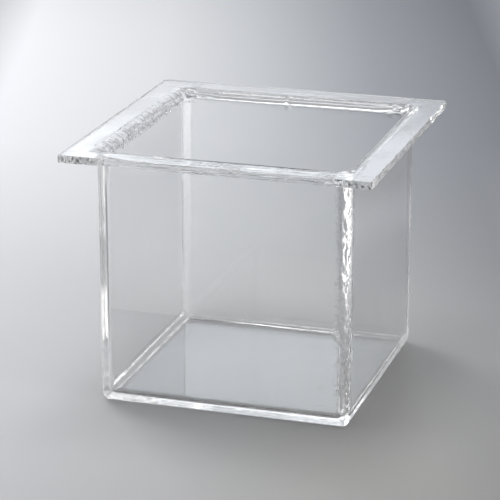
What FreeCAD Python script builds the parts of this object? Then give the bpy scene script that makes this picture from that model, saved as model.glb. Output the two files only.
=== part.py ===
"""Open square tank of clear glass with a flat flange round its mouth.

Nine flat plates are joined along every edge by flame-welded seams: a base, four walls and the four
strips of the flange. Millimetres, +Z up. The origin is at the middle of the underside of the base.
The front faces -Y and the right-hand side faces +X.
"""

import FreeCAD, Part
import os
import re
import Sketcher
from FreeCAD import Vector

# The sizes that can be set one by one, in millimetres.
DRIVING_SIZES = {
    "tank_width": 205,  # over the outer faces of the left and right walls
    "tank_depth": 205,  # over the outer faces of the front and back walls
    "overall_height": 209,  # underside of the base to the top of the flange
    "wall_thickness": 5,
    "base_thickness": 5,
    "flange_thickness": 6,
    "flange_overhang": 22.5,  # how far the flange stands out from the walls
    "outer_seam_radius": 6,  # rounding of the welded edges outside the tank
    "inner_seam_radius": 7,  # fillet of the welded edges inside the tank
    "rim_fillet_radius": 5,  # fillet under the flange, where it meets a wall
    "seam_margin": 0.5,  # flat glass that a rim seam takes in past its fillet
    "side_strip_cut": 30,  # sawn width of the left and right strips
    "butt_seam_width": 5,  # bead where two strips meet end to side
}

# What follows from them, as formulas in the same sheet.
DERIVED_SIZES = {
    "half_width": "tank_width / 2",
    "half_depth": "tank_depth / 2",
    "flange_half_width": "half_width + flange_overhang",
    "flange_half_depth": "half_depth + flange_overhang",
    "flange_underside": "overall_height - flange_thickness",
    "plate_half_width": "half_width - wall_thickness - inner_seam_radius",
    "plate_half_depth": "half_depth - wall_thickness - inner_seam_radius",
    "wall_foot": "base_thickness + inner_seam_radius",
    "rim_shoulder_radius": "wall_thickness + rim_fillet_radius + seam_margin",
    "rim_half_width": "half_width + rim_fillet_radius + seam_margin",
    "rim_half_depth": "half_depth + rim_fillet_radius + seam_margin",
    "rim_seam_drop": "max(rim_shoulder_radius; flange_thickness + rim_fillet_radius) + seam_margin",
    "wall_head": "overall_height - rim_seam_drop",
    "side_strip_inner": "flange_half_width - side_strip_cut",
    "end_strip_half": "side_strip_inner - butt_seam_width",
}

NEAR = 1e-4  # millimetres, for comparing places on the finished glass
LEAST_HOLLOW = 0.5  # the cavity takes away at least this share of the block


def make_sheet(doc):
    """The spreadsheet of sizes. Its cells have the sizes' names as aliases."""
    sheet = doc.addObject("Spreadsheet::Sheet", "sizes")
    rows = [(name, str(value)) for name, value in DRIVING_SIZES.items()]
    rows += [(name, "=" + formula) for name, formula in DERIVED_SIZES.items()]
    for row, (name, content) in enumerate(rows, start=1):
        sheet.set(f"A{row}", name)
        sheet.setAlias(f"B{row}", name)
        sheet.set(f"B{row}", content)
    doc.recompute()
    return sheet


def from_sheet(formula):
    """The formula with every size's name pointing at its cell."""
    return re.sub(r"[a-z_]+", lambda word: "sizes." + word.group(), str(formula))


# ---------------------------------------------------------------- the shape of the fused glass


def rectangle(body, name, width, depth, height):
    """A sketch of a rectangle centred on the tank's axis, at a height above the base."""
    sketch = body.newObject("Sketcher::SketchObject", name)
    planes = body.Origin.OriginFeatures
    sketch.AttachmentSupport = [next(p for p in planes if p.Role == "XY_Plane"), ""]
    sketch.MapMode = "FlatFace"
    sketch.setExpression("AttachmentOffset.Base.z", from_sheet(height))
    corners = [Vector(-1, -1), Vector(1, -1), Vector(1, 1), Vector(-1, 1)]
    for start, end in zip(corners, corners[1:] + corners[:1]):
        sketch.addGeometry(Part.LineSegment(start, end))
    for side in range(4):
        sketch.addConstraint(Sketcher.Constraint("Coincident", side, 2, (side + 1) % 4, 1))
    for side in (0, 2):
        sketch.addConstraint(Sketcher.Constraint("Horizontal", side))
    for side in (1, 3):
        sketch.addConstraint(Sketcher.Constraint("Vertical", side))
    sketch.addConstraint(Sketcher.Constraint("Symmetric", 0, 1, 1, 2, -1, 1))
    for size_name, kind, side, formula in (
        ("width", "DistanceX", 0, width),
        ("depth", "DistanceY", 1, depth),
    ):
        index = sketch.addConstraint(Sketcher.Constraint(kind, side, 1, side, 2, 2.0))
        sketch.renameConstraint(index, size_name)
        sketch.setExpression("Constraints." + size_name, from_sheet(formula))
    return sketch


def extrude(body, kind, name, sketch, length):
    """A Pad upwards from a sketch, or a Pocket downwards."""
    feature = body.newObject("PartDesign::" + kind, name)
    feature.Profile = sketch
    feature.setExpression("Length", from_sheet(length))
    body.Document.recompute()
    return feature


def round_edges(body, name, base, radius, wanted):
    """A Fillet on the edges of a feature for which wanted(bounding box) is true."""
    edges = base.Shape.Edges
    chosen = [f"Edge{number}" for number, edge in enumerate(edges, 1) if wanted(edge.BoundBox)]
    fillet = body.newObject("PartDesign::Fillet", name)
    fillet.Base = (base, chosen)
    fillet.setExpression("Radius", from_sheet(radius))
    body.Document.recompute()
    return fillet


def upright(box):
    """True for an edge that runs along Z."""
    return box.XLength < NEAR and box.YLength < NEAR


def level_at(box, height):
    """True for an edge that lies at one height."""
    return abs(box.ZMin - height) < NEAR and abs(box.ZMax - height) < NEAR


def within(box, half_width, half_depth):
    """True for an edge no further out than a rectangle centred on the tank's axis."""
    return max(-box.XMin, box.XMax) < half_width + NEAR and max(-box.YMin, box.YMax) < half_depth + NEAR


def make_glass_form(doc, sheet):
    """The whole vessel as one rounded form, from which each seam takes its own length."""
    body = doc.addObject("PartDesign::Body", "glass_form")
    outline = rectangle(body, "tank_outline", "tank_width", "tank_depth", "0")
    block = extrude(body, "Pad", "tank_block", outline, "flange_underside")
    outside = round_edges(
        body, "outer_seams", block, "outer_seam_radius", lambda box: upright(box) or level_at(box, 0)
    )

    flange_outline = rectangle(
        body, "flange_outline", "2 * flange_half_width", "2 * flange_half_depth", "flange_underside"
    )
    flange = extrude(body, "Pad", "flange", flange_outline, "flange_thickness")
    underside = sheet.flange_underside
    half_width, half_depth = sheet.half_width, sheet.half_depth
    rim = round_edges(
        body,
        "rim_fillet",
        flange,
        "rim_fillet_radius",
        lambda box: level_at(box, underside) and within(box, half_width, half_depth),
    )

    mouth = rectangle(
        body,
        "mouth_outline",
        "tank_width - 2 * wall_thickness",
        "tank_depth - 2 * wall_thickness",
        "overall_height",
    )
    cavity = extrude(body, "Pocket", "cavity", mouth, "overall_height - base_thickness")
    removed = rim.Shape.Volume - cavity.Shape.Volume
    if removed < LEAST_HOLLOW * outside.Shape.Volume:
        raise ValueError("the cavity pocket points away from the glass")
    inner_width, inner_depth = half_width - sheet.wall_thickness, half_depth - sheet.wall_thickness
    top, floor = sheet.overall_height, sheet.base_thickness

    def in_mouth(box):
        return within(box, inner_width, inner_depth)

    inside = round_edges(
        body,
        "inner_seams",
        cavity,
        "inner_seam_radius",
        lambda box: in_mouth(box) and (upright(box) or level_at(box, floor)),
    )
    round_edges(
        body,
        "rim_shoulder",
        inside,
        "rim_shoulder_radius",
        lambda box: in_mouth(box) and level_at(box, top),
    )
    return body


# ---------------------------------------------------------------- the separate pieces


def add_block(doc, label, low, high):
    """A box between two corners, each given as three formulas of the sheet's sizes."""
    box = doc.addObject("Part::Box", label)
    box.Label = label
    for side, place, start, end in zip(("Length", "Width", "Height"), "xyz", low, high):
        box.setExpression(side, from_sheet(f"({end}) - ({start})"))
        box.setExpression("Placement.Base." + place, from_sheet(start))
    return box


def take_seam(doc, glass, label, low, high):
    """The glass that lies between two corners, as one seam."""
    seam = doc.addObject("Part::Common", label)
    seam.Label = label
    seam.Base = glass
    seam.Tool = add_block(doc, label + "_reach", low, high)
    return seam


def between(sign, near, far):
    """Two formulas in rising order: near and far from the middle, on the side that sign gives."""
    return (near, far) if sign > 0 else (f"-({far})", f"-({near})")


def make_plates(doc):
    """The flat base and the four flat walls, each as far as its seams."""
    plates = [
        add_block(
            doc,
            "base_plate",
            ("-plate_half_width", "-plate_half_depth", "0"),
            ("plate_half_width", "plate_half_depth", "base_thickness"),
        )
    ]
    for side, sign in (("front", -1), ("back", 1)):
        near, far = between(sign, "half_depth - wall_thickness", "half_depth")
        low = ("-plate_half_width", near, "wall_foot")
        high = ("plate_half_width", far, "wall_head")
        plates.append(add_block(doc, side + "_wall", low, high))
    for side, sign in (("left", -1), ("right", 1)):
        near, far = between(sign, "half_width - wall_thickness", "half_width")
        low = (near, "-plate_half_depth", "wall_foot")
        high = (far, "plate_half_depth", "wall_head")
        plates.append(add_block(doc, side + "_wall", low, high))
    return plates


def make_base_seams(doc, glass):
    """Front and back seams run the whole width with their corners; the side ones fit between."""
    seams = []
    for side, sign in (("front", -1), ("back", 1)):
        near, far = between(sign, "plate_half_depth", "half_depth")
        low, high = ("-half_width", near, "0"), ("half_width", far, "wall_foot")
        seams.append(take_seam(doc, glass, "base_seam_" + side, low, high))
    for side, sign in (("left", -1), ("right", 1)):
        near, far = between(sign, "plate_half_width", "half_width")
        low, high = (near, "-plate_half_depth", "0"), (far, "plate_half_depth", "wall_foot")
        seams.append(take_seam(doc, glass, "base_seam_" + side, low, high))
    return seams


def make_corner_seams(doc, glass):
    """The four upright seams, from the base seams to the rim seams."""
    seams = []
    for end, y_sign in (("front", -1), ("back", 1)):
        for side, x_sign in (("left", -1), ("right", 1)):
            x_near, x_far = between(x_sign, "plate_half_width", "half_width")
            y_near, y_far = between(y_sign, "plate_half_depth", "half_depth")
            low, high = (x_near, y_near, "wall_foot"), (x_far, y_far, "wall_head")
            seams.append(take_seam(doc, glass, f"corner_seam_{end}_{side}", low, high))
    return seams


def make_rim_seams(doc, glass):
    """The rounded shoulders that carry the walls out into the flange."""
    seams = []
    for side, sign in (("front", -1), ("back", 1)):
        near, far = between(sign, "plate_half_depth", "rim_half_depth")
        low = ("-rim_half_width", near, "wall_head")
        high = ("rim_half_width", far, "overall_height")
        seams.append(take_seam(doc, glass, "rim_seam_" + side, low, high))
    for side, sign in (("left", -1), ("right", 1)):
        near, far = between(sign, "plate_half_width", "rim_half_width")
        low = (near, "-plate_half_depth", "wall_head")
        high = (far, "plate_half_depth", "overall_height")
        seams.append(take_seam(doc, glass, "rim_seam_" + side, low, high))
    return seams


def make_side_strips(doc):
    """The left and right strips run the flange's whole depth, and their ends are sawn square."""
    welded = add_block(
        doc,
        "rim_zone",
        ("-rim_half_width", "-rim_half_depth", "flange_underside"),
        ("rim_half_width", "rim_half_depth", "overall_height"),
    )
    strips = []
    for side, sign in (("left", -1), ("right", 1)):
        near, far = between(sign, "side_strip_inner", "flange_half_width")
        low = (near, "-flange_half_depth", "flange_underside")
        high = (far, "flange_half_depth", "overall_height")
        strip = doc.addObject("Part::Cut", side + "_rim_strip")
        strip.Label = side + "_rim_strip"
        strip.Base = add_block(doc, side + "_strip_sawn", low, high)
        strip.Tool = welded
        strips.append(strip)
    return strips


def make_end_strips(doc):
    """The front and back strips, between the side strips, with the bead at each of their ends."""
    pieces = []
    for end, y_sign in (("front", -1), ("back", 1)):
        near, far = between(y_sign, "rim_half_depth", "flange_half_depth")
        low, high = ("-end_strip_half", near, "flange_underside"), ("end_strip_half", far, "overall_height")
        pieces.append(add_block(doc, end + "_rim_strip", low, high))
        for side, x_sign in (("left", -1), ("right", 1)):
            x_near, x_far = between(x_sign, "end_strip_half", "side_strip_inner")
            low, high = (x_near, near, "flange_underside"), (x_far, far, "overall_height")
            pieces.append(add_block(doc, f"butt_seam_{end}_{side}", low, high))
    return pieces


def check(doc, pieces):
    """Stop if any object failed or any piece isn't one valid solid."""
    for item in doc.Objects:
        if "Invalid" in item.State or "Error" in item.State:
            raise ValueError(f"{item.Label} failed: {item.State}")
    for piece in pieces:
        shape = piece.Shape
        if shape.isNull() or not shape.isValid() or len(shape.Solids) != 1:
            raise ValueError(f"{piece.Label} isn't one valid solid")


def main():
    doc = FreeCAD.newDocument("glass_tank")
    sheet = make_sheet(doc)
    glass = make_glass_form(doc, sheet)
    pieces = make_plates(doc)
    pieces += make_base_seams(doc, glass)
    pieces += make_corner_seams(doc, glass)
    pieces += make_rim_seams(doc, glass)
    pieces += make_side_strips(doc)
    pieces += make_end_strips(doc)
    doc.recompute()
    check(doc, [glass] + pieces)
    os.makedirs("parts", exist_ok=True)
    for piece in pieces:
        piece.Shape.exportStep(f"parts/{piece.Label}.step")
    total = sum(piece.Shape.Volume for piece in pieces)
    print(f"{len(pieces)} pieces, {total:.0f} mm3 of {glass.Shape.Volume:.0f} mm3 in the fused form")


main()
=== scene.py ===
"""Clear glass tank with a flanged rim, as fused plates, seams and sawn strips, in a small studio.

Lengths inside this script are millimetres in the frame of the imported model; meshes are written in metres.
"""

import math

import bmesh
import bpy
from mathutils import Euler, Matrix, Vector, noise


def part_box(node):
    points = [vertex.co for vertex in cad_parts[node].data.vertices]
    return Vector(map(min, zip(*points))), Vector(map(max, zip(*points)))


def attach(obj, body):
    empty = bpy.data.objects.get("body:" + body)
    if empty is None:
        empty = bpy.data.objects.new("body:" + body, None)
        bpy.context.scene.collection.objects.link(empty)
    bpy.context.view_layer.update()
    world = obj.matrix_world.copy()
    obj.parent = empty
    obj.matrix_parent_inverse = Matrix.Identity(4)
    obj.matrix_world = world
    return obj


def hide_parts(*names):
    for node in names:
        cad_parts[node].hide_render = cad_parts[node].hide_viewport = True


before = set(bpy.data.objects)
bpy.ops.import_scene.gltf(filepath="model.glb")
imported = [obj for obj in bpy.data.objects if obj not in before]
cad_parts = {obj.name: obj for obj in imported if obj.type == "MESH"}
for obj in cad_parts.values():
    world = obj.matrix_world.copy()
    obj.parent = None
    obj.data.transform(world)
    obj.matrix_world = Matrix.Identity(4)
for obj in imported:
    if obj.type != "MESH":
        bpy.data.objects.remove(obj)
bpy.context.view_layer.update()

MM = 0.001
NEAR = 1e-7  # metres, for telling whether a vertex lies on a joint

# ------------------------------------------------------------------ sizes, read from the frame


def reach(node):
    """Lowest and highest corners of a node, in millimetres."""
    return [Vector(corner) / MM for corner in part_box(node)]


plate = reach("base_plate")[1]  # half sizes of the flat base, and its thickness as z
side_low, side_high = reach("right_wall")
tank = Vector((side_high.x, reach("back_wall")[1].y))  # half sizes over the walls
wall = side_high.x - side_low.x
wall_foot, wall_head = side_low.z, side_high.z
rim = Vector((reach("rim_seam_right")[1].x, reach("rim_seam_back")[1].y))
strip_low, flange = reach("right_rim_strip")  # flange: half sizes, and the top as z
underside = strip_low.z
end_strip = reach("front_rim_strip")[1].x

OUTER_ROUND = 6.0  # welded edges outside the tank
INNER_ROUND = 6.6  # fillet inside, a little under the seam's leg so that it ends flat
RIM_FILLET = 5.0
POLISHED_ROUND = 1.1  # edges of the flame-polished strips
SAWN_ROUND = 0.25  # edges of the sawn strips
SAW_REACH = 2.5  # how far inland the sawn edges are cut back
SAW_SET_BACK = 0.35  # depth of the saw's cut between its marks
CHIP_DEPTH, CHIP_HEIGHT = 0.9, 2.2  # chips at the edges of a sawn face
WAVE_HEIGHT = 0.03  # of the slow wave in a drawn plate
ARC_STEPS = 8  # facets in each half of a quarter round
SEAM_STEP = 0.8
SAW_STEP = 0.5
PLATE_STEP = 3.0
SEAM_FADE, RIM_FADE, BEAD_FADE, PLATE_FADE = 2.0, 1.6, 1.2, 12.0  # how far from a joint a relief dies out
GLASS_IOR = 1.49

inner = tank - Vector((wall, wall))  # half sizes between the walls

# ------------------------------------------------------------------ small helpers

X, Y, Z = 0, 1, 2


def ease(value):
    """Smooth step from 0 to 1."""
    value = min(max(value, 0.0), 1.0)
    return value * value * (3 - 2 * value)


def mix(low, high, share):
    return low + (high - low) * share


def held(value, limit):
    """The value, kept between -limit and limit."""
    return min(max(value, -limit), limit)


def steps(start, end, size):
    """Evenly spaced places from start to end, about size apart."""
    count = max(1, round(abs(end - start) / size))
    return [mix(start, end, index / count) for index in range(count + 1)]


def from_edge(length, radius, size=1.5):
    """Distances from a sharp edge that give even facets on its rounding, then flat steps."""
    turns = [math.radians(45) * (1 - index / ARC_STEPS) for index in range(ARC_STEPS + 1)]
    places = [radius * (1 - math.tan(turn)) for turn in turns]
    if length > radius:
        places += steps(radius, length, size)[1:]
    return places


def mirrored(edge, places, middle):
    """Places that leave both edges of a symmetrical run, with the middle between them."""
    low = [-edge + place for place in places]
    return low + middle[1:-1] + [-place for place in reversed(low)]


def grain(place, size, seed, stretch=(1, 1, 1)):
    """Smooth noise from -1 to 1 at a size in millimetres, drawn out along an axis."""
    x, y, z = (place[axis] / (size * stretch[axis]) for axis in (X, Y, Z))
    return noise.noise(Vector((x + 17.3 * seed, y - 9.1 * seed, z + 5.7 * seed)))


def creases(place, size, seed, stretch):
    """Folds with sharp creases: coarse ones with finer ones on them."""
    coarse = 1 - 2 * abs(grain(place, size, seed, stretch))
    fine = 1 - 2 * abs(grain(place, size * 0.45, seed + 3, stretch))
    return 0.7 * coarse + 0.3 * fine - 0.5


# ---------------------------------------------------------------- reliefs: how far a surface rises at a place


def everywhere(place):
    return 1.0


def between(axis, low, high, soft=6.0):
    """1 between two places on an axis, easing to 0 outside them."""
    return lambda place: ease((place[axis] - low) / soft + 1) * ease((high - place[axis]) / soft + 1)


def around(axis, *spots):
    """1 at each (middle, reach) on an axis, easing to 0 at its reach."""
    return lambda place: max(ease(1.6 * (1 - abs(place[axis] - middle) / extent)) for middle, extent in spots)


def folds(size, height, seed, stretch=(1, 1, 1), where=everywhere):
    """Glass pushed about with a rod while it was soft."""
    return lambda place: height * where(place) * creases(place, size, seed, stretch)


def ripple(size, height, seed, stretch):
    """Glass that ran smooth in the flame."""
    return lambda place: height * grain(place, size, seed, stretch)


def lump(centre, radii, height):
    """A single swelling, or with a negative height a dent."""

    def relief(place):
        away = sum(((place[axis] - centre[axis]) / radii[axis]) ** 2 for axis in (X, Y, Z))
        return height * math.exp(-away)

    return relief


def together(*reliefs):
    return lambda place: sum(relief(place) for relief in reliefs)


# ------------------------------------------------------------------ closed solids from skins and joints

SKIN, JOINT, SECOND = 0, 1, 2  # material places of a piece; the second skin is sawn, or worked from outside


class Solid:
    """One piece of glass: skins of quads that meet the air, and flat faces where it joins others."""

    def __init__(self, joints, fade=SEAM_FADE):
        self.mesh = bmesh.new()
        self.joints = joints
        self.fade = fade

    def moved(self, place, normal, relief):
        """The place with a relief that dies out towards the joints and stays within the tank's box."""
        gap = min((abs(place[axis] - value) for axis, value in self.joints), default=self.fade)
        share = ease(gap / self.fade)
        if share == 0:
            return place
        place = place + normal * share * relief(place)
        return Vector((held(place.x, flange.x), held(place.y, flange.y), min(max(place.z, 0.0), flange.z)))

    def skin(self, rows, relief, slot=SKIN):
        """Adds a grid of quads through rows of (place, normal)."""
        made = [[self.mesh.verts.new(self.moved(*point, relief) * MM) for point in row] for row in rows]
        for row, above in zip(made, made[1:]):
            for left, right, up_left, up_right in zip(row, row[1:], above, above[1:]):
                self.mesh.faces.new((left, right, up_right, up_left)).material_index = slot

    def weld(self):
        """Joins the skins where they share an edge."""
        bmesh.ops.remove_doubles(self.mesh, verts=self.mesh.verts, dist=2 * NEAR)

    def cap(self, axis, value, where=None):
        """Closes the piece with a flat joint face in one plane."""
        chains = self.open_chains(axis, value * MM, where)
        loop = chains.pop(0)
        while chains:
            end = loop[-1].co
            chains.sort(key=lambda c: min((c[0].co - end).length, (c[-1].co - end).length))
            following = chains.pop(0)
            if (following[-1].co - end).length < (following[0].co - end).length:
                following.reverse()
            loop += following
        self.mesh.faces.new(loop).material_index = JOINT

    def open_chains(self, axis, value, where):
        """The open edges in a plane, as lists of vertices in order."""
        links = {}
        for edge in self.mesh.edges:
            if edge.is_boundary and all(abs(vert.co[axis] - value) < NEAR * 5 for vert in edge.verts):
                if where is None or where(edge.verts[0].co / MM):
                    first, second = edge.verts
                    links.setdefault(first, []).append(second)
                    links.setdefault(second, []).append(first)
        chains = []
        while links:
            start = next((vert for vert in links if len(links[vert]) == 1), None) or next(iter(links))
            chain, here = [start], start
            while links.get(here):
                following = links[here].pop()
                links[following].remove(here)
                if not links[here]:
                    del links[here]
                here = following
                if here is not start:
                    chain.append(here)
            links.pop(here, None)
            chains.append(chain)
        return chains

    def bubble(self, centre, radii, turn=(0, 0, 0), seed=0):
        """Leaves a small, uneven hollow inside the glass."""
        place = Matrix.LocRotScale(Vector(centre), Euler(turn), Vector(radii))
        made = bmesh.ops.create_icosphere(self.mesh, subdivisions=3, radius=1.0)["verts"]
        for vert in made:
            uneven = 1 + 0.16 * noise.noise(vert.co * 1.4 + Vector((seed, seed, 0)))
            vert.co = place @ (vert.co * uneven) * MM
        faces = {face for vert in made for face in vert.link_faces}
        bmesh.ops.reverse_faces(self.mesh, faces=list(faces))

    def shape(self, node, slot, materials, hollows=()):
        """Closes and checks the mesh, and stands it for its node."""
        name = node + "_glass"
        bmesh.ops.recalc_face_normals(self.mesh, faces=self.mesh.faces)
        for hollow in hollows:
            self.bubble(**hollow)
        if any(not edge.is_manifold for edge in self.mesh.edges):
            raise ValueError(f"{name} isn't closed")
        for face in self.mesh.faces:
            face.smooth = True
        for edge in self.mesh.edges:
            edge.smooth = all(face.material_index != JOINT for face in edge.link_faces)
        data = bpy.data.meshes.new(name)
        self.mesh.to_mesh(data)
        self.mesh.free()
        for material in materials:
            data.materials.append(material)
        piece = bpy.data.objects.new(name, data)
        bpy.context.scene.collection.objects.link(piece)
        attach(piece, "root")
        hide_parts(node)
        return piece


# ------------------------------------------------------------------ the surfaces of the fused glass


def outside(spot):
    """A spot on the sharp outer box, moved onto the rounded outside, with its normal."""
    reach_x, reach_y = tank.x - OUTER_ROUND, tank.y - OUTER_ROUND
    core = Vector((held(spot.x, reach_x), held(spot.y, reach_y), max(spot.z, OUTER_ROUND)))
    out = (spot - core).normalized()
    return core + OUTER_ROUND * out, out


# how tight each upright fillet is between its ends, by the signs of x and y
UPRIGHT_FILLETS = {(-1, -1): 4.6, (1, -1): 6.6, (-1, 1): 5.6, (1, 1): 3.6}


def fillet_at(spot):
    """Radius of the fillet inside the tank at a spot."""
    tight = UPRIGHT_FILLETS[math.copysign(1, spot.x), math.copysign(1, spot.y)]
    return mix(INNER_ROUND, tight, ease((spot.z - wall_foot) / 20) * ease((wall_head - spot.z) / 20))


def inside(spot):
    """A spot on the sharp inner box, moved onto the filleted inside, with its normal."""
    radius = fillet_at(spot)
    core = Vector(
        (held(spot.x, inner.x - radius), held(spot.y, inner.y - radius), max(spot.z, plate.z + radius))
    )
    out = (spot - core).normalized()
    return core + radius * out, -out


def flange_edge(radius):
    """Returns the rounding of the flange's free edges, for a slab of its size."""

    def rounded(spot):
        core = Vector(
            (
                held(spot.x, flange.x - radius),
                held(spot.y, flange.y - radius),
                min(max(spot.z, underside + radius), flange.z - radius),
            )
        )
        out = (spot - core).normalized()
        return core + radius * out, out

    return rounded


def grid(surface, **spans):
    """Rows of points of a surface over a face of a box: two lists of places and one fixed value."""
    fixed = next(axis for axis in "xyz" if not isinstance(spans[axis], list))
    first, second = (axis for axis in "xyz" if axis != fixed)
    rows = []
    for high in spans[second]:
        row = []
        for low in spans[first]:
            at = {fixed: spans[fixed], first: low, second: high}
            row.append(surface(Vector((at["x"], at["y"], at["z"]))))
        rows.append(row)
    return rows


# ------------------------------------------------------------------ materials


def add_node(owner, kind, **settings):
    """A node in the tree of a material, a world or a group."""
    tree = owner if isinstance(owner, bpy.types.NodeTree) else owner.node_tree
    node = tree.nodes.new(kind)
    for name, value in settings.items():
        setattr(node, name, value)
    return node


def new_group(name, inputs, outputs):
    """A shader group with named sockets, its input and output nodes."""
    tree = bpy.data.node_groups.new(name, "ShaderNodeTree")
    for socket, kind, value in inputs:
        made = tree.interface.new_socket(socket, in_out="INPUT", socket_type=kind)
        made.default_value = value
    for socket, kind in outputs:
        tree.interface.new_socket(socket, in_out="OUTPUT", socket_type=kind)
    return tree, tree.nodes.new("NodeGroupInput"), tree.nodes.new("NodeGroupOutput")


def noise_node(tree, size, detail=3.0, stretch=(1, 1, 1)):
    """Noise at a size in millimetres, drawn out along an axis."""
    place = add_node(tree, "ShaderNodeTexCoord")
    scaled = add_node(tree, "ShaderNodeMapping")
    scaled.inputs["Scale"].default_value = tuple(1 / (size * MM * drawn) for drawn in stretch)
    pattern = add_node(tree, "ShaderNodeTexNoise")
    pattern.inputs["Scale"].default_value = 1.0
    pattern.inputs["Detail"].default_value = detail
    tree.links.new(place.outputs["Object"], scaled.inputs["Vector"])
    tree.links.new(scaled.outputs["Vector"], pattern.inputs["Vector"])
    return pattern.outputs["Fac"]


NOISE_LOW, NOISE_HIGH = 0.35, 0.65  # noise seldom leaves this range


def spread(tree, factor, low, high, start=NOISE_LOW, end=NOISE_HIGH):
    """A range of the factor, spread between two values that may be sockets."""
    rise = add_node(tree, "ShaderNodeMapRange")
    tree.links.new(factor, rise.inputs["Value"])
    for name, value in (("From Min", start), ("From Max", end), ("To Min", low), ("To Max", high)):
        if isinstance(value, bpy.types.NodeSocket):
            tree.links.new(value, rise.inputs[name])
        else:
            rise.inputs[name].default_value = value
    return rise.outputs["Result"]


def make_surface_group():
    """Draw lines, small dark pit specks and a faint veil: the marks that every finish of this glass has more
    or less of. The pit specks are painted shade, dark colour in the tint with no hollow under them.
    """
    inputs = (
        ("Least Roughness", "NodeSocketFloat", 0.0),
        ("Most Roughness", "NodeSocketFloat", 0.02),
        ("Wave", "NodeSocketFloat", 0.0),
        ("Grit", "NodeSocketFloat", 0.0),
        ("Pit Shade", "NodeSocketFloat", 0.0),
    )
    outputs = (("Tint", "NodeSocketColor"), ("Roughness", "NodeSocketFloat"), ("Normal", "NodeSocketVector"))
    tree, given, result = new_group("glass_surface", inputs, outputs)
    veil = noise_node(tree, 22.0, 2.0)
    tint = add_node(tree, "ShaderNodeMix", data_type="RGBA")
    tint.inputs["A"].default_value = (0.988, 0.994, 0.996, 1)
    tint.inputs["B"].default_value = (1.0, 1.0, 1.0, 1)
    tree.links.new(spread(tree, veil, 0.0, 1.0), tint.inputs["Factor"])
    # Pit specks: noise mixes a dark colour into the tint, as painted shade for small pit hollows that are not
    # built.
    pit_shaded = add_node(tree, "ShaderNodeMix", data_type="RGBA")
    pit_shaded.inputs["B"].default_value = (0.10, 0.10, 0.095, 1)
    pit_shade = spread(tree, noise_node(tree, 2.2, 2.0), 0.0, given.outputs["Pit Shade"], 0.55, 0.62)
    tree.links.new(pit_shade, pit_shaded.inputs["Factor"])
    tree.links.new(tint.outputs["Result"], pit_shaded.inputs["A"])
    cloudy = noise_node(tree, 3.0)
    least, most = given.outputs["Least Roughness"], given.outputs["Most Roughness"]
    waves = add_node(tree, "ShaderNodeBump")
    waves.inputs["Distance"].default_value = 0.001
    tree.links.new(noise_node(tree, 9.0, 1.0, (1, 1, 2.5)), waves.inputs["Height"])
    tree.links.new(given.outputs["Wave"], waves.inputs["Strength"])
    grit = add_node(tree, "ShaderNodeBump")
    grit.inputs["Distance"].default_value = 0.0015
    tree.links.new(noise_node(tree, 2.6, 3.0), grit.inputs["Height"])
    tree.links.new(given.outputs["Grit"], grit.inputs["Strength"])
    tree.links.new(waves.outputs["Normal"], grit.inputs["Normal"])
    tree.links.new(pit_shaded.outputs["Result"], result.inputs["Tint"])
    tree.links.new(spread(tree, cloudy, least, most), result.inputs["Roughness"])
    tree.links.new(grit.outputs["Normal"], result.inputs["Normal"])
    return tree


def glass_material(name, least, most, wave, grit, pit_shade):
    """Clear glass with the shared surface marks, in amounts of its own."""
    material = bpy.data.materials.new(name)
    material.use_nodes = True
    marks = add_node(material, "ShaderNodeGroup", node_tree=surface_marks)
    amounts = {"Least Roughness": least, "Most Roughness": most, "Wave": wave, "Grit": grit, "Pit Shade": pit_shade}
    for socket, value in amounts.items():
        marks.inputs[socket].default_value = value
    shader = material.node_tree.nodes["Principled BSDF"]
    shader.inputs["Transmission Weight"].default_value = 1.0
    shader.inputs["IOR"].default_value = GLASS_IOR
    links = material.node_tree.links
    links.new(marks.outputs["Tint"], shader.inputs["Base Color"])
    links.new(marks.outputs["Roughness"], shader.inputs["Roughness"])
    links.new(marks.outputs["Normal"], shader.inputs["Normal"])
    return material


def joint_material():
    """Glass that runs on into the next piece without a surface."""
    material = bpy.data.materials.new("fused_through")
    material.use_nodes = True
    nodes, links = material.node_tree.nodes, material.node_tree.links
    nodes.clear()
    clear = nodes.new("ShaderNodeBsdfTransparent")
    output = nodes.new("ShaderNodeOutputMaterial")
    links.new(clear.outputs["BSDF"], output.inputs["Surface"])
    return material


surface_marks = make_surface_group()
# The last amount of each finish paints dark pit specks as shade. They are strongest on the sawn faces and
# lighter on the worked seams.
clear_plate = glass_material("clear_plate_glass", 0.0, 0.004, 0.012, 0.0, 0.0)
polished_seam = glass_material("polished_seam_glass", 0.0, 0.01, 0.02, 0.0, 0.06)
worked_seam = glass_material("worked_seam_glass", 0.0, 0.05, 0.04, 0.08, 0.22)
sawn_face = glass_material("sawn_glass", 0.02, 0.20, 0.0, 0.25, 1.0)
fused_through = joint_material()
PLATE_FINISH = (clear_plate, fused_through)
SEAM_FINISH = (polished_seam, fused_through)
WORKED_FINISH = (worked_seam, fused_through)
WORKED_OUTSIDE = (polished_seam, fused_through, worked_seam)
SAWN_FINISH = (clear_plate, fused_through, sawn_face)

# ------------------------------------------------------------------ flat plates


def plate_wave(seed):
    """Very slight waviness of a drawn plate."""
    return ripple(45, WAVE_HEIGHT, seed, (1, 1, 2.5))


def thread_bubble(centre, length, turn, seed):
    """A thin bubble drawn out level, as stock plate has here and there."""
    return {"centre": centre, "radii": (length / 2, 0.5, 0.35), "turn": (0, 0, turn), "seed": seed}


BASE_BUBBLES = (
    thread_bubble((28, 56, 3.2), 6.0, 0.2, 1),
    thread_bubble((72, -70, 3.6), 8.0, 0.5, 2),
    thread_bubble((60, -30, 2.8), 2.4, 1.1, 3),
    thread_bubble((-34, 20, 3.1), 2.2, 0.0, 4),
)


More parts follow.
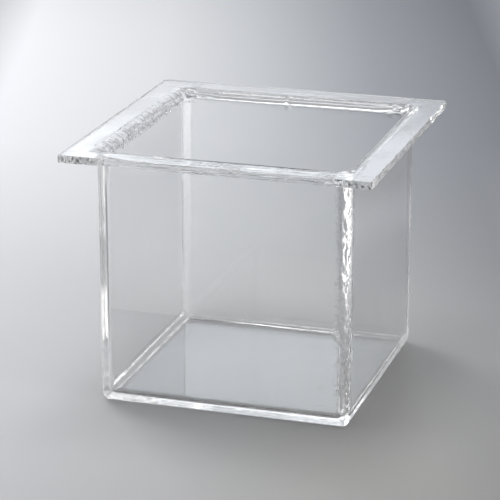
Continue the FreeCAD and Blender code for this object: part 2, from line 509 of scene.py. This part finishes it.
def make_base_plate():
    joints = [(X, -plate.x), (X, plate.x), (Y, -plate.y), (Y, plate.y)]
    solid = Solid(joints, fade=PLATE_FADE)
    xs, ys = steps(-plate.x, plate.x, PLATE_STEP), steps(-plate.y, plate.y, PLATE_STEP)
    solid.skin(grid(outside, x=xs, y=ys, z=0.0), plate_wave(1))
    solid.skin(grid(inside, x=xs, y=ys, z=plate.z), plate_wave(2))
    for axis, value in joints:
        solid.cap(axis, value)
    return solid.shape("base_plate", "clear_plate", PLATE_FINISH, BASE_BUBBLES)


def make_wall(side, seed):
    """One upright plate. Front and back run along X, left and right along Y."""
    sign = -1 if side in ("front", "left") else 1
    across = side in ("front", "back")
    half = plate.x if across else plate.y
    run, rise = steps(-half, half, PLATE_STEP), steps(wall_foot, wall_head, PLATE_STEP)
    joints = [(X if across else Y, -half), (X if across else Y, half), (Z, wall_foot), (Z, wall_head)]
    solid = Solid(joints, fade=PLATE_FADE)
    for surface, size, wave in ((outside, tank, plate_wave(seed)), (inside, inner, plate_wave(seed + 10))):
        if across:
            solid.skin(grid(surface, x=run, y=sign * size.y, z=rise), wave)
        else:
            solid.skin(grid(surface, x=sign * size.x, y=run, z=rise), wave)
    for axis, value in joints:
        solid.cap(axis, value)
    return solid.shape(f"{side}_wall", "clear_plate", PLATE_FINISH)


# ------------------------------------------------------------------ seams of the base and the corners

outer_cross = from_edge(tank.x - plate.x, OUTER_ROUND)
inner_cross = from_edge(inner.x - plate.x, INNER_ROUND)


def outer_slot(finish):
    """Which of a seam's materials its outer skin has."""
    return SECOND if len(finish) > SECOND else SKIN


def make_base_end_seam(side, reliefs, finish):
    """Front or back base seam, the whole width of the tank, with its two rounded corners."""
    sign = -1 if side == "front" else 1
    joints = [(Z, wall_foot), (Y, sign * plate.y)]
    solid = Solid(joints)
    length = steps(-plate.x, plate.x, SEAM_STEP)
    for surface, half, floor, cross, relief in (
        (outside, tank, 0.0, outer_cross, reliefs[0]),
        (inside, inner, plate.z, inner_cross, reliefs[1]),
    ):
        xs = mirrored(half.x, cross, length)
        ys = [sign * (half.y - place) for place in cross]
        zs = [floor + place for place in cross]
        solid.skin(grid(surface, x=xs, y=ys, z=floor), relief)
        solid.skin(grid(surface, x=xs, y=sign * half.y, z=zs), relief)
        for end in (-half.x, half.x):
            solid.skin(grid(surface, x=end, y=ys, z=zs), relief)
    solid.weld()
    for axis, value in joints:
        solid.cap(axis, value)
    return solid.shape(f"base_seam_{side}", "fused_seam", finish)


def make_base_side_seam(side, reliefs, finish):
    """Left or right base seam, between the front and back ones."""
    sign = -1 if side == "left" else 1
    joints = [(Y, -plate.y), (Y, plate.y), (Z, wall_foot), (X, sign * plate.x)]
    solid = Solid(joints)
    ys = steps(-plate.y, plate.y, SEAM_STEP)
    for surface, half, floor, cross, relief, slot in (
        (outside, tank, 0.0, outer_cross, reliefs[0], outer_slot(finish)),
        (inside, inner, plate.z, inner_cross, reliefs[1], SKIN),
    ):
        solid.skin(grid(surface, x=[sign * (half.x - place) for place in cross], y=ys, z=floor), relief, slot)
        solid.skin(grid(surface, x=sign * half.x, y=ys, z=[floor + place for place in cross]), relief, slot)
    solid.weld()
    for axis, value in joints:
        solid.cap(axis, value)
    return solid.shape(f"base_seam_{side}", "fused_seam", finish)


def make_corner_seam(end, side, reliefs, finish):
    """One upright seam."""
    sign_x, sign_y = (-1 if side == "left" else 1), (-1 if end == "front" else 1)
    joints = [(Z, wall_foot), (Z, wall_head), (X, sign_x * plate.x), (Y, sign_y * plate.y)]
    solid = Solid(joints)
    zs = steps(wall_foot, wall_head, SEAM_STEP)
    for surface, half, cross, relief, slot in (
        (outside, tank, outer_cross, reliefs[0], outer_slot(finish)),
        (inside, inner, inner_cross, reliefs[1], SKIN),
    ):
        xs = [sign_x * (half.x - place) for place in cross]
        ys = [sign_y * (half.y - place) for place in cross]
        solid.skin(grid(surface, x=xs, y=sign_y * half.y, z=zs), relief, slot)
        solid.skin(grid(surface, x=sign_x * half.x, y=ys, z=zs), relief, slot)
    solid.weld()
    for axis, value in joints:
        solid.cap(axis, value)
    return solid.shape(f"corner_seam_{end}_{side}", "fused_seam", finish)


# ------------------------------------------------------------------ seams of the rim

SHOULDERS = {"front": 9.6, "left": 8.0, "right": 8.0, "back": 6.0}  # rounding of the mouth on each side
SHOULDER_AT_CORNERS = 8.4
RISE_STEPS = 2  # rows below a rounding
FLAT_STEPS = 3  # rows beyond it


def shoulder_at(place):
    """How round the mouth is at a place in plan."""
    across = abs(place.y) / inner.y > abs(place.x) / inner.x
    if across:
        side, along = ("back" if place.y > 0 else "front"), plate.x - abs(place.x)
    else:
        side, along = ("right" if place.x > 0 else "left"), plate.y - abs(place.y)
    return mix(SHOULDER_AT_CORNERS, SHOULDERS[side], ease(along / 25))


def rim_column(anchor, out, radius, top):
    """Points up one slice of the rim: the mouth's shoulder, or the fillet under the flange."""
    bend = shoulder_at(anchor) if top else RIM_FILLET
    level = flange.z if top else underside
    turned = -1 if top else 1  # the shoulder faces the mouth, the fillet faces away from it
    edge = min((rim[axis] - abs(anchor[axis])) / abs(out[axis]) for axis in (X, Y) if abs(out[axis]) > NEAR)
    flat = Vector((out.x, out.y, 0))
    column = []
    for index in range(RISE_STEPS):
        z = mix(wall_head, level - bend, index / RISE_STEPS)
        column.append((Vector((*anchor, z)) + flat * radius, turned * flat))
    for index in range(2 * ARC_STEPS + 1):
        turn = math.radians(90) * index / (2 * ARC_STEPS)
        outward, lift = bend * (1 - math.cos(turn)), bend * math.sin(turn)
        place = Vector((*anchor, level - bend + lift)) + flat * (radius + outward)
        column.append((place, turned * (flat * math.cos(turn) - Vector((0, 0, math.sin(turn))))))
    for index in range(1, FLAT_STEPS + 1):
        distance = mix(radius + bend, edge, index / FLAT_STEPS)
        column.append((Vector((*anchor, level)) + flat * distance, Vector((0, 0, -turned))))
    return column


def rim_slices(half, radius, sign):
    """Anchors and outward directions along a front or back rim seam, round both its corners."""
    core = half - Vector((radius, radius))
    slices = [(Vector((-core.x, y)), Vector((-1, 0))) for y in steps(plate.y, core.y, 1.0)[:-1]]
    for index in range(2 * ARC_STEPS + 1):
        turn = math.radians(90) * index / (2 * ARC_STEPS)
        slices.append((core * Vector((-1, 1)), Vector((-math.cos(turn), math.sin(turn)))))
    half_way = steps(-core.x, -plate.x, 1.0)[1:] + steps(-plate.x, 0, SEAM_STEP)[1:]
    slices += [(Vector((x, core.y)), Vector((0, 1))) for x in half_way]
    flipped = [(anchor * Vector((-1, 1)), out * Vector((-1, 1))) for anchor, out in reversed(slices[:-1])]
    return [(anchor * Vector((1, sign)), out * Vector((1, sign))) for anchor, out in slices + flipped]


def make_rim_end_seam(side, reliefs, finish, hollows):
    """Front or back rim seam, with the mouth's corners."""
    sign = -1 if side == "front" else 1
    joints = [(Z, wall_head), (Y, sign * rim.y), (X, -rim.x), (X, rim.x), (Y, sign * plate.y)]
    solid = Solid(joints, fade=RIM_FADE)
    for half, radius, top, relief in (
        (tank, OUTER_ROUND, False, reliefs[0]),
        (inner, INNER_ROUND, True, reliefs[1]),
    ):
        slices = rim_slices(half, radius, sign)
        solid.skin([rim_column(anchor, out, radius, top) for anchor, out in slices], relief)
    solid.weld()
    for axis, value in joints[:-1]:
        solid.cap(axis, value)
    for where in (lambda co: co.x < 0, lambda co: co.x > 0):
        solid.cap(Y, sign * plate.y, where)
    return solid.shape(f"rim_seam_{side}", "fused_seam", finish, hollows)


def make_rim_side_seam(side, reliefs, finish):
    """Left or right rim seam, between the front and back ones."""
    sign = -1 if side == "left" else 1
    joints = [(Z, wall_head), (X, sign * rim.x), (Y, -plate.y), (Y, plate.y)]
    solid = Solid(joints, fade=RIM_FADE)
    for half, radius, top, relief in (
        (tank, OUTER_ROUND, False, reliefs[0]),
        (inner, INNER_ROUND, True, reliefs[1]),
    ):
        out = Vector((sign, 0))
        anchors = [Vector((sign * (half.x - radius), y)) for y in steps(-plate.y, plate.y, SEAM_STEP)]
        solid.skin([rim_column(anchor, out, radius, top) for anchor in anchors], relief)
    solid.weld()
    for axis, value in joints:
        solid.cap(axis, value)
    return solid.shape(f"rim_seam_{side}", "fused_seam", finish)


# ------------------------------------------------------------------ strips of the flange


def edge_heights(radius):
    """Places up the free edge of the flange, from the underside to the top."""
    half = (flange.z - underside) / 2
    low = [underside + place for place in from_edge(half, radius, 0.5)]
    return low + [flange.z + underside - z for z in reversed(low[:-1])]


def make_end_piece(node, slot, finish, sign, span, relief):
    """A length of the front or back strip, or the bead at its end, from one x to another."""
    low, high = span
    joints = [(X, low), (X, high), (Y, sign * rim.y)]
    solid = Solid(joints, fade=BEAD_FADE)
    surface = flange_edge(POLISHED_ROUND)
    xs = steps(low, high, SEAM_STEP)
    depth = [sign * (flange.y - place) for place in from_edge(flange.y - rim.y, POLISHED_ROUND, 1.2)]
    for level in (underside, flange.z):
        solid.skin(grid(surface, x=xs, y=depth, z=level), relief)
    solid.skin(grid(surface, x=xs, y=sign * flange.y, z=edge_heights(POLISHED_ROUND)), relief)
    solid.weld()
    for axis, value in joints:
        solid.cap(axis, value)
    return solid.shape(node, slot, finish)


def sawn(surface, seed):
    """A surface of a side strip with its free faces cut back by saw marks, and by chips at their edges."""

    def cut(spot):
        place, normal = surface(spot)
        toward_side = ease(1 - (flange.x - abs(place.x)) / SAW_REACH)
        past_bead = ease((abs(place.x) - strip_low.x) / BEAD_FADE)
        toward_end = ease(1 - (flange.y - abs(place.y)) / SAW_REACH) * past_bead
        if toward_side == 0 and toward_end == 0:
            return place, normal
        marks = 0.30 * grain(place, 2.6, seed) + 0.16 * grain(place, 1.3, seed + 1, (1, 1, 2))
        at_edge = ease(1 - min(place.z - underside, flange.z - place.z) / CHIP_HEIGHT)
        chips = at_edge * ease((grain(place, 4.2, seed + 2) - 0.12) / 0.3)
        depth = SAW_SET_BACK + marks + CHIP_DEPTH * chips
        shift = Vector((math.copysign(toward_side, place.x), math.copysign(toward_end, place.y), 0))
        return place - shift * depth, normal

    return cut


def make_side_strip(side, seed):
    """Left or right strip: the whole depth of the flange, its ends and outer side sawn."""
    sign = -1 if side == "left" else 1
    surface = sawn(flange_edge(SAWN_ROUND), seed)
    relief = ripple(16, 0.05, seed + 3, (1, 2.5, 1))
    joints = [(X, sign * rim.x), (X, sign * strip_low.x), (Y, -rim.y), (Y, rim.y)]
    solid = Solid(joints, fade=BEAD_FADE)
    across = [sign * (flange.x - place) for place in from_edge(flange.x - rim.x, SAWN_ROUND, SAW_STEP)]
    beyond = [sign * x for x in steps(rim.x, strip_low.x, SAW_STEP)]
    end = [flange.y - place for place in from_edge(flange.y - rim.y, SAWN_ROUND, SAW_STEP)]
    ys = [-y for y in end] + steps(-rim.y, rim.y, SAW_STEP)[1:-1] + end[::-1]
    for level in (underside, flange.z):
        solid.skin(grid(surface, x=across, y=ys, z=level), relief)
        for y_sign in (-1, 1):
            solid.skin(grid(surface, x=beyond, y=[y_sign * y for y in end], z=level), relief)
    heights = edge_heights(SAWN_ROUND)
    solid.skin(grid(surface, x=sign * flange.x, y=ys, z=heights), relief, SECOND)
    for y_sign in (-1, 1):
        solid.skin(grid(surface, x=across + beyond[1:], y=y_sign * flange.y, z=heights), relief, SECOND)
    solid.weld()
    solid.cap(X, sign * rim.x, lambda co: abs(co.y) < rim.y + NEAR)
    for y_sign in (-1, 1):
        solid.cap(Y, y_sign * rim.y)
        solid.cap(X, sign * strip_low.x, lambda co: co.y * y_sign > 0)
    return solid.shape(f"{side}_rim_strip", "sawn_plate", SAWN_FINISH)


# ------------------------------------------------------------------ the tank


ALONG_X, ALONG_Y, ALONG_Z = (40, 1, 1), (1, 40, 1), (1, 1, 40)  # lines drawn along a seam by the flame

# outer and inner relief of each seam
BASE_RELIEFS = {
    "front": (
        together(ripple(2.4, 0.2, 21, ALONG_X), folds(3.4, 0.3, 22, where=between(X, -110, -68))),
        ripple(3, 0.12, 23, ALONG_X),
    ),
    "back": (ripple(2.4, 0.25, 24, ALONG_X), ripple(3, 0.15, 25, ALONG_X)),
    "left": (ripple(2.4, 0.22, 26, ALONG_Y), ripple(3, 0.15, 27, ALONG_Y)),
    "right": (folds(3.6, 0.42, 28), folds(4.2, 0.2, 29, (1, 2, 1))),
}
CORNER_RELIEFS = {
    ("front", "left"): (
        together(ripple(2.4, 0.22, 31, ALONG_Z), folds(4, 0.35, 32, where=between(Z, 0, 42, 12))),
        ripple(3, 0.12, 33, ALONG_Z),
    ),
    ("front", "right"): (
        together(folds(4.6, 0.4, 34, (1, 1, 2)), folds(2.6, 0.25, 35, where=between(Z, 0, 45, 12))),
        ripple(3, 0.1, 36, ALONG_Z),
    ),
    ("back", "left"): (ripple(2.4, 0.28, 37, ALONG_Z), ripple(3, 0.18, 38, ALONG_Z)),
    ("back", "right"): (ripple(2.2, 0.3, 39, ALONG_Z), ripple(2.6, 0.2, 40, ALONG_Z)),
}
RIM_RELIEFS = {
    "front": (
        together(
            ripple(2.6, 0.25, 41, ALONG_X),
            folds(4, 0.3, 42, where=around(X, (-95, 16), (-10, 20), (55, 30))),
        ),
        ripple(3, 0.2, 43, ALONG_X),
    ),
    "back": (
        ripple(3, 0.25, 44, ALONG_X),
        together(
            ripple(3, 0.2, 45, ALONG_X),
            lump((-92, 92, 199), (5, 5, 6), 1.1),
            lump((-5.6, 98, 203), (1.8, 8, 8), 0.6),
            lump((84, 98, 203), (2.5, 8, 8), 0.6),
            folds(4, 0.3, 46, where=around(X, (-92, 10))),
        ),
    ),
    "left": (
        folds(5, 0.4, 47, (1, 2, 1)),
        together(
            ripple(2.4, 0.25, 48, ALONG_Y),
            folds(6, 0.5, 49, (1.6, 0.8, 1.6), where=between(Z, 180, 203, 2)),
        ),
    ),
    "right": (folds(6, 0.35, 50, (1, 2.5, 1)), ripple(3, 0.22, 51, ALONG_Y)),
}
RIM_BUBBLES = {
    "front": (),
    "back": ({"centre": (87.6, 101.5, 203.5), "radii": (4.0, 1.4, 1.4), "seed": 5},),
}
STRIP_RELIEFS = {
    "front": together(
        ripple(12, 0.16, 61, (3, 1, 1)),
        folds(3.2, 0.4, 62, where=around(X, (-9, 17), (16, 9), (53, 8), (86, 8))),
    ),
    "back": ripple(14, 0.12, 63, (3, 1, 1)),
}


def make_tank():
    make_base_plate()
    for seed, side in enumerate(("front", "back", "left", "right"), start=3):
        make_wall(side, seed)
    for side in ("front", "back"):
        make_base_end_seam(side, BASE_RELIEFS[side], SEAM_FINISH)
        make_rim_end_seam(side, RIM_RELIEFS[side], SEAM_FINISH, RIM_BUBBLES[side])
    for side, finish in (("left", SEAM_FINISH), ("right", WORKED_OUTSIDE)):
        make_base_side_seam(side, BASE_RELIEFS[side], finish)
        make_rim_side_seam(side, RIM_RELIEFS[side], WORKED_FINISH if side == "left" else SEAM_FINISH)
        for end in ("front", "back"):
            worked = WORKED_OUTSIDE if (end, side) == ("front", "right") else SEAM_FINISH
            make_corner_seam(end, side, CORNER_RELIEFS[end, side], worked)
    make_side_strip("left", 71)
    make_side_strip("right", 81)
    for seed, (end, sign) in enumerate((("front", -1), ("back", 1)), start=91):
        span = (-end_strip, end_strip)
        make_end_piece(f"{end}_rim_strip", "clear_plate", PLATE_FINISH, sign, span, STRIP_RELIEFS[end])
        for side, span in (("left", (-strip_low.x, -end_strip)), ("right", (end_strip, strip_low.x))):
            bead = folds(2.6, 0.5, seed, (1, 1.5, 1))
            make_end_piece(f"butt_seam_{end}_{side}", "fused_seam", WORKED_FINISH, sign, span, bead)


make_tank()

# ------------------------------------------------------------------ studio

TO_THE_RIGHT = (0.954, 0.299, 0.0)  # level, square to the camera's line of sight
AWAY = (-0.299, 0.954, 0.0)  # level, along the camera's line of sight
UP = (0, 0, 1)
FAN_EDGE = 0.2  # softness of a wedge's edges
FLOOR_DROP = 0.0002  # so the paper and the base don't share a plane
BOUNCES, CLEAR_BOUNCES = 96, 128  # light crosses many faces of glass
WIDENING = 0.12  # how much wider the camera sees to each side, for every metre away
RIGHT_OF_VIEW = Vector(TO_THE_RIGHT) - WIDENING * Vector(AWAY)
LEFT_OF_VIEW = -Vector(TO_THE_RIGHT) - WIDENING * Vector(AWAY)


def distance_along(owner, vector, direction):
    """Node output: how far a vector reaches along a direction."""
    along = add_node(owner, "ShaderNodeVectorMath", operation="DOT_PRODUCT")
    along.inputs[1].default_value = direction
    owner.node_tree.links.new(vector, along.inputs[0])
    return along.outputs["Value"]


def slope(owner, vector, direction, start, end):
    """Node output that rises from 0 to 1 along a direction, between two distances."""
    rise = add_node(owner, "ShaderNodeMapRange")
    rise.inputs["From Min"].default_value = start
    rise.inputs["From Max"].default_value = end
    owner.node_tree.links.new(distance_along(owner, vector, direction), rise.inputs["Value"])
    return rise.outputs["Result"]


def plain(owner, colour):
    """Node output with one colour."""
    output = add_node(owner, "ShaderNodeRGB").outputs["Color"]
    output.default_value = (*colour, 1)
    return output


def ramp(owner, factor, stops):
    """Colour ramp node from (place, colour) stops."""
    node = add_node(owner, "ShaderNodeValToRGB")
    node.color_ramp.interpolation = "EASE" if len(stops) < 4 else "LINEAR"
    elements = node.color_ramp.elements
    while len(elements) < len(stops):
        elements.new(0.5)
    for element, (place, colour) in zip(elements, stops):
        element.position = place
        element.color = (*colour, 1)
    owner.node_tree.links.new(factor, node.inputs["Fac"])
    return node.outputs["Color"]


def blend_colours(owner, factor, first, second):
    node = add_node(owner, "ShaderNodeMix", data_type="RGBA")
    links = owner.node_tree.links
    links.new(factor, node.inputs["Factor"])
    links.new(first, node.inputs["A"])
    links.new(second, node.inputs["B"])
    return node.outputs["Result"]


def combine(owner, operation, *factors):
    """Several node outputs put together with one operation."""
    result = factors[0]
    for factor in factors[1:]:
        node = add_node(owner, "ShaderNodeMath", operation=operation)
        owner.node_tree.links.new(result, node.inputs[0])
        owner.node_tree.links.new(factor, node.inputs[1])
        result = node.outputs["Value"]
    return result


def fan(owner, vector, count, turn, level):
    """1 within evenly spaced wedges round the tank's upright axis, narrower for a higher level."""
    links = owner.node_tree.links
    sides = [distance_along(owner, vector, direction) for direction in (TO_THE_RIGHT, AWAY)]
    angle = combine(owner, "ARCTAN2", *sides)
    turned = add_node(owner, "ShaderNodeMath", operation="MULTIPLY_ADD")
    turned.inputs[1].default_value = count
    turned.inputs[2].default_value = turn
    links.new(angle, turned.inputs[0])
    wave = add_node(owner, "ShaderNodeMath", operation="SINE")
    links.new(turned.outputs["Value"], wave.inputs[0])
    return spread(owner.node_tree, wave.outputs["Value"], 0.0, 1.0, level - FAN_EDGE, level + FAN_EDGE)


def band(owner, vector, direction, start, full, waning, end):
    """1 between two distances along a direction, with a soft edge at each."""
    rising = slope(owner, vector, direction, start, full)
    return combine(owner, "MULTIPLY", rising, slope(owner, vector, direction, end, waning))


def painted_light_paper():
    """Pale studio paper with painted light and shade: tones graded for light falling from the left, a painted
    shadow right of the tank, and painted dark patches of shade beside the view.
    """
    material = bpy.data.materials.new("studio_paper_painted_light")
    material.use_nodes = True
    place = add_node(material, "ShaderNodeTexCoord").outputs["Object"]
    # Tones across and along the paper are painted light and shade, not the paper's own colour.
    sideways = slope(material, place, TO_THE_RIGHT, -0.6, 0.6)
    front = ramp(material, sideways, FRONT_PAPER_PAINTED_LIGHT)
    near = ramp(material, sideways, NEAR_PAPER_PAINTED_LIGHT)
    far = ramp(material, sideways, FAR_PAPER_PAINTED_LIGHT)
    paper = blend_colours(material, slope(material, place, AWAY, -0.3, 0.7), near, far)
    paper = blend_colours(material, slope(material, place, AWAY, -0.26, -0.45), paper, front)
    beside = combine(
        material,
        "MAXIMUM",
        slope(material, place, RIGHT_OF_VIEW, 0.25, 0.40),
        slope(material, place, LEFT_OF_VIEW, 0.25, 0.40),
        slope(material, place, AWAY, -0.38, -0.55),
    )
    grey = plain(material, PAINTED_SHADE_GREY)
    paper = blend_colours(material, beside, paper, plain(material, PALE_PAPER))
    # Painted shade: dark grey patches on the paper just beside the view, left and right, put there for the
    # seams to refract as dark lines.
    for outward, nearest, deepest in ((LEFT_OF_VIEW, -0.4, -0.15), (RIGHT_OF_VIEW, 0.25, 0.45)):
        painted_shade = combine(
            material,
            "MULTIPLY",
            band(material, place, outward, 0.23, 0.33, 0.7, 1.2),
            slope(material, place, AWAY, nearest, deepest),
            slope(material, place, AWAY, 1.8, 1.2),
        )
        paper = blend_colours(material, painted_shade, paper, grey)
    shader = material.node_tree.nodes["Principled BSDF"]
    material.node_tree.links.new(paper, shader.inputs["Base Color"])
    shader.inputs["Roughness"].default_value = 0.5
    shader.inputs["Specular IOR Level"].default_value = 0.2
    return material


# The pale colour is the plain paper beyond the view; the dark grey is painted shade for the patches beside
# the view.
PALE_PAPER, PAINTED_SHADE_GREY = (0.62, 0.62, 0.63), (0.22, 0.22, 0.225)
# Painted light and shade by place across the paper (0 left, 1 right). The paper is lighter on the left, where
# the key light falls, and darker to the right. Near the tank, the dark stop at 0.69 is a painted shadow that
# deepens the tank's real shadow to its right. The darker stops towards both outer ends are painted shade for
# the seams to refract, and the paper turns pale again past them. In front of the tank, the paper is painted
# lighter to the right for the front wall and seams to reflect.
FRONT_PAPER_PAINTED_LIGHT = ((0.0, (0.50, 0.50, 0.51)), (0.5, (0.70, 0.70, 0.70)), (1.0, (0.80, 0.79, 0.77)))
NEAR_PAPER_PAINTED_LIGHT = (
    (0.20, (0.30, 0.30, 0.31)),
    (0.29, (0.47, 0.47, 0.485)),
    (0.375, (0.43, 0.43, 0.44)),
    (0.46, (0.41, 0.41, 0.41)),
    (0.535, (0.40, 0.395, 0.385)),
    (0.61, (0.37, 0.365, 0.355)),
    (0.69, (0.24, 0.24, 0.24)),
    (0.85, (0.72, 0.73, 0.76)),
)
FAR_PAPER_PAINTED_LIGHT = (
    (0.16, (0.30, 0.30, 0.31)),
    (0.245, (0.64, 0.64, 0.66)),
    (0.4, (0.57, 0.575, 0.59)),
    (0.5, (0.45, 0.46, 0.48)),
    (0.625, (0.265, 0.275, 0.30)),
    (0.75, (0.15, 0.157, 0.177)),
    (0.95, (0.62, 0.64, 0.68)),
)


def make_floor():
    data = bpy.data.meshes.new("studio_floor")
    built = bmesh.new()
    bmesh.ops.create_grid(built, x_segments=20, y_segments=20, size=8.0)
    built.to_mesh(data)
    built.free()
    floor = bpy.data.objects.new("studio_floor", data)
    floor.location.z = -FLOOR_DROP
    bpy.context.scene.collection.objects.link(floor)
    data.materials.append(painted_light_paper())
    return floor


def softbox(name, place, aim, size, power, colour):
    """Rectangular soft light at a place, turned to the tank."""
    data = bpy.data.lights.new(name, "AREA")
    data.shape = "RECTANGLE"
    data.size, data.size_y = size
    data.energy = power
    data.color = colour
    light = bpy.data.objects.new(name, data)
    light.location = place
    light.rotation_euler = (Vector(place) - Vector(aim)).to_track_quat("Z", "Y").to_euler()
    bpy.context.scene.collection.objects.link(light)
    return light


def make_lights():
    middle = (0, 0, 0.1)
    softbox("key_softbox", (-1.5, 1.0, 1.0), middle, (1.0, 0.9), 24, (1.0, 1.0, 1.0))
    softbox("top_softbox", (-0.2, 0.1, 2.2), middle, (1.6, 0.7), 20, (0.98, 0.99, 1.0))
    softbox("right_softbox", (1.7, -0.6, 0.8), middle, (0.7, 1.1), 7, (1.0, 0.99, 0.97))
    softbox("low_right_softbox", (0.343, 0.108, 0.1), middle, (0.40, 0.19), 0.22, (1.0, 0.97, 0.92))


def make_camera():
    data = bpy.data.cameras.new("camera")
    data.sensor_width = 36
    data.lens = 165.6
    data.clip_end = 100
    camera = bpy.data.objects.new("camera", data)
    bpy.context.scene.collection.objects.link(camera)
    camera.location = (0.5256, -1.7034, 0.6962)
    camera.rotation_euler = (math.radians(90 - 18.356), math.radians(0.08), math.radians(17.395))
    bpy.context.scene.camera = camera


def make_world():
    """Soft studio walls under a grey ceiling, with dark gaps, a skirting and a bright far panel."""
    world = bpy.data.worlds.new("studio")
    bpy.context.scene.world = world
    world.use_nodes = True
    direction = add_node(world, "ShaderNodeTexCoord").outputs["Generated"]
    sideways = slope(world, direction, TO_THE_RIGHT, -0.9, 0.9)
    ahead = slope(world, direction, AWAY, 0.45, 0.60)
    beside = slope(world, direction, AWAY, 0.5, 0.3)
    low, high = ramp(world, sideways, LOW_SKY), ramp(world, sideways, HIGH_SKY)
    sky = blend_colours(world, slope(world, direction, UP, 0.0, 0.24), low, high)
    ceiling = slope(world, direction, UP, 0.48, 0.62)
    sky = blend_colours(world, ceiling, sky, plain(world, CEILING))
    dark = plain(world, DARK)
    below_ceiling = slope(world, direction, UP, 0.7, 0.6)
    gaps = combine(world, "MULTIPLY", fan(world, direction, *GAPS), below_ceiling, beside)
    sky = blend_colours(world, gaps, sky, dark)
    narrow = slope(world, direction, TO_THE_RIGHT, 0.26, 0.17)
    panel = combine(world, "MULTIPLY", band(world, direction, UP, *PANEL), ahead, narrow)
    sky = blend_colours(world, panel, sky, plain(world, PANEL_LIGHT))
    panel_joint = combine(world, "MULTIPLY", band(world, direction, UP, *PANEL_JOINT), ahead)
    sky = blend_colours(world, panel_joint, sky, dark)
    sky = blend_colours(world, band(world, direction, UP, *SKIRTING), sky, dark)
    background = world.node_tree.nodes["Background"]
    world.node_tree.links.new(sky, background.inputs["Color"])
    background.inputs["Strength"].default_value = 1.0


# where each starts, is whole, wanes and ends, as sines of the height above the horizon
PANEL = (0.256, 0.272, 0.40, 0.44)
PANEL_JOINT = (0.300, 0.306, 0.326, 0.332)
SKIRTING = (0.04, 0.06, 0.12, 0.15)
GAPS = (8, 0.6, 0.2)  # their count, turn and level
CEILING, DARK, PANEL_LIGHT = (0.40, 0.405, 0.41), (0.03, 0.03, 0.032), (1.45, 1.51, 1.60)
LOW_SKY = ((0.0, (0.95, 0.96, 1.0)), (0.5, (0.86, 0.88, 0.93)), (1.0, (0.30, 0.31, 0.34)))
HIGH_SKY = ((0.0, (1.0, 1.0, 1.02)), (0.5, (0.80, 0.82, 0.86)), (1.0, (0.45, 0.46, 0.48)))


make_floor()
make_lights()
make_camera()
make_world()
cycles = bpy.context.scene.cycles
cycles.max_bounces = BOUNCES
cycles.glossy_bounces = BOUNCES
cycles.transmission_bounces = BOUNCES
cycles.transparent_max_bounces = CLEAR_BOUNCES
bpy.context.scene.view_settings.view_transform = "Standard"
